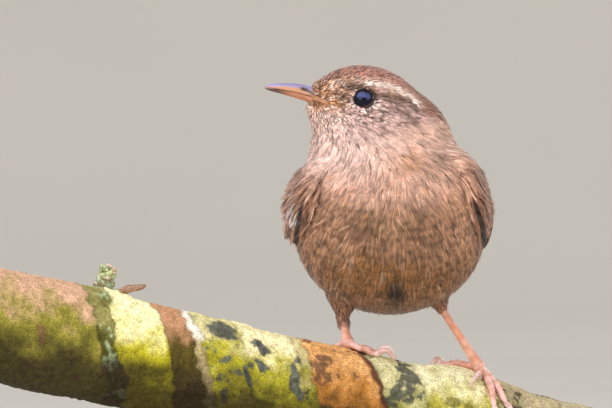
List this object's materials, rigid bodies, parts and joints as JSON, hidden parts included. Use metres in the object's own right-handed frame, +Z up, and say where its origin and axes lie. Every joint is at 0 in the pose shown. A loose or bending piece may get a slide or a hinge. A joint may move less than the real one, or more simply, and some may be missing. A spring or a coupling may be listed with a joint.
{
  "type": "wren model on perch",
  "caption": "Life-size wren with turned head, folded wings and cocked tail, gripping a cut branch on a flat stand.",
  "frame": {"origin": "centre of the base's underside, on the floor", "axes": "+Z up; the bird's body faces -Y and its head is turned towards -X; the perch runs along X, high at -X"},
  "size_m": [0.1504, 0.0856, 0.1189],
  "materials": {
    "plumage_brown": "soft matte feathers",
    "plumage_buff": "soft matte feathers",
    "wing_brown": "matte barred feathers",
    "tail_brown": "matte barred feathers",
    "bill_horn": "satin dark horn",
    "bill_pale": "satin pale horn",
    "eye": "wet and glossy",
    "leg_skin": "satin scaled skin",
    "bark": "rough bark with lichen",
    "base_wood": "satin varnish",
    "rod_steel": "brushed"
  },
  "bodies": {
    "root": {"head": "plumage_brown", "neck": "plumage_buff", "torso": "plumage_brown", "bill_upper": "bill_horn", "bill_lower": "bill_pale", "eye_left": "eye", "eye_right": "eye", "wing_left": "wing_brown", "wing_right": "wing_brown", "tail": "tail_brown", "thigh_left": "plumage_brown", "thigh_right": "plumage_brown", "tarsus_left": "leg_skin", "tarsus_right": "leg_skin", "foot_left": "leg_skin", "foot_right": "leg_skin", "perch": "bark", "stand_base": "base_wood", "stand_rod_left": "rod_steel", "stand_rod_right": "rod_steel"}
  },
  "joints": []
}
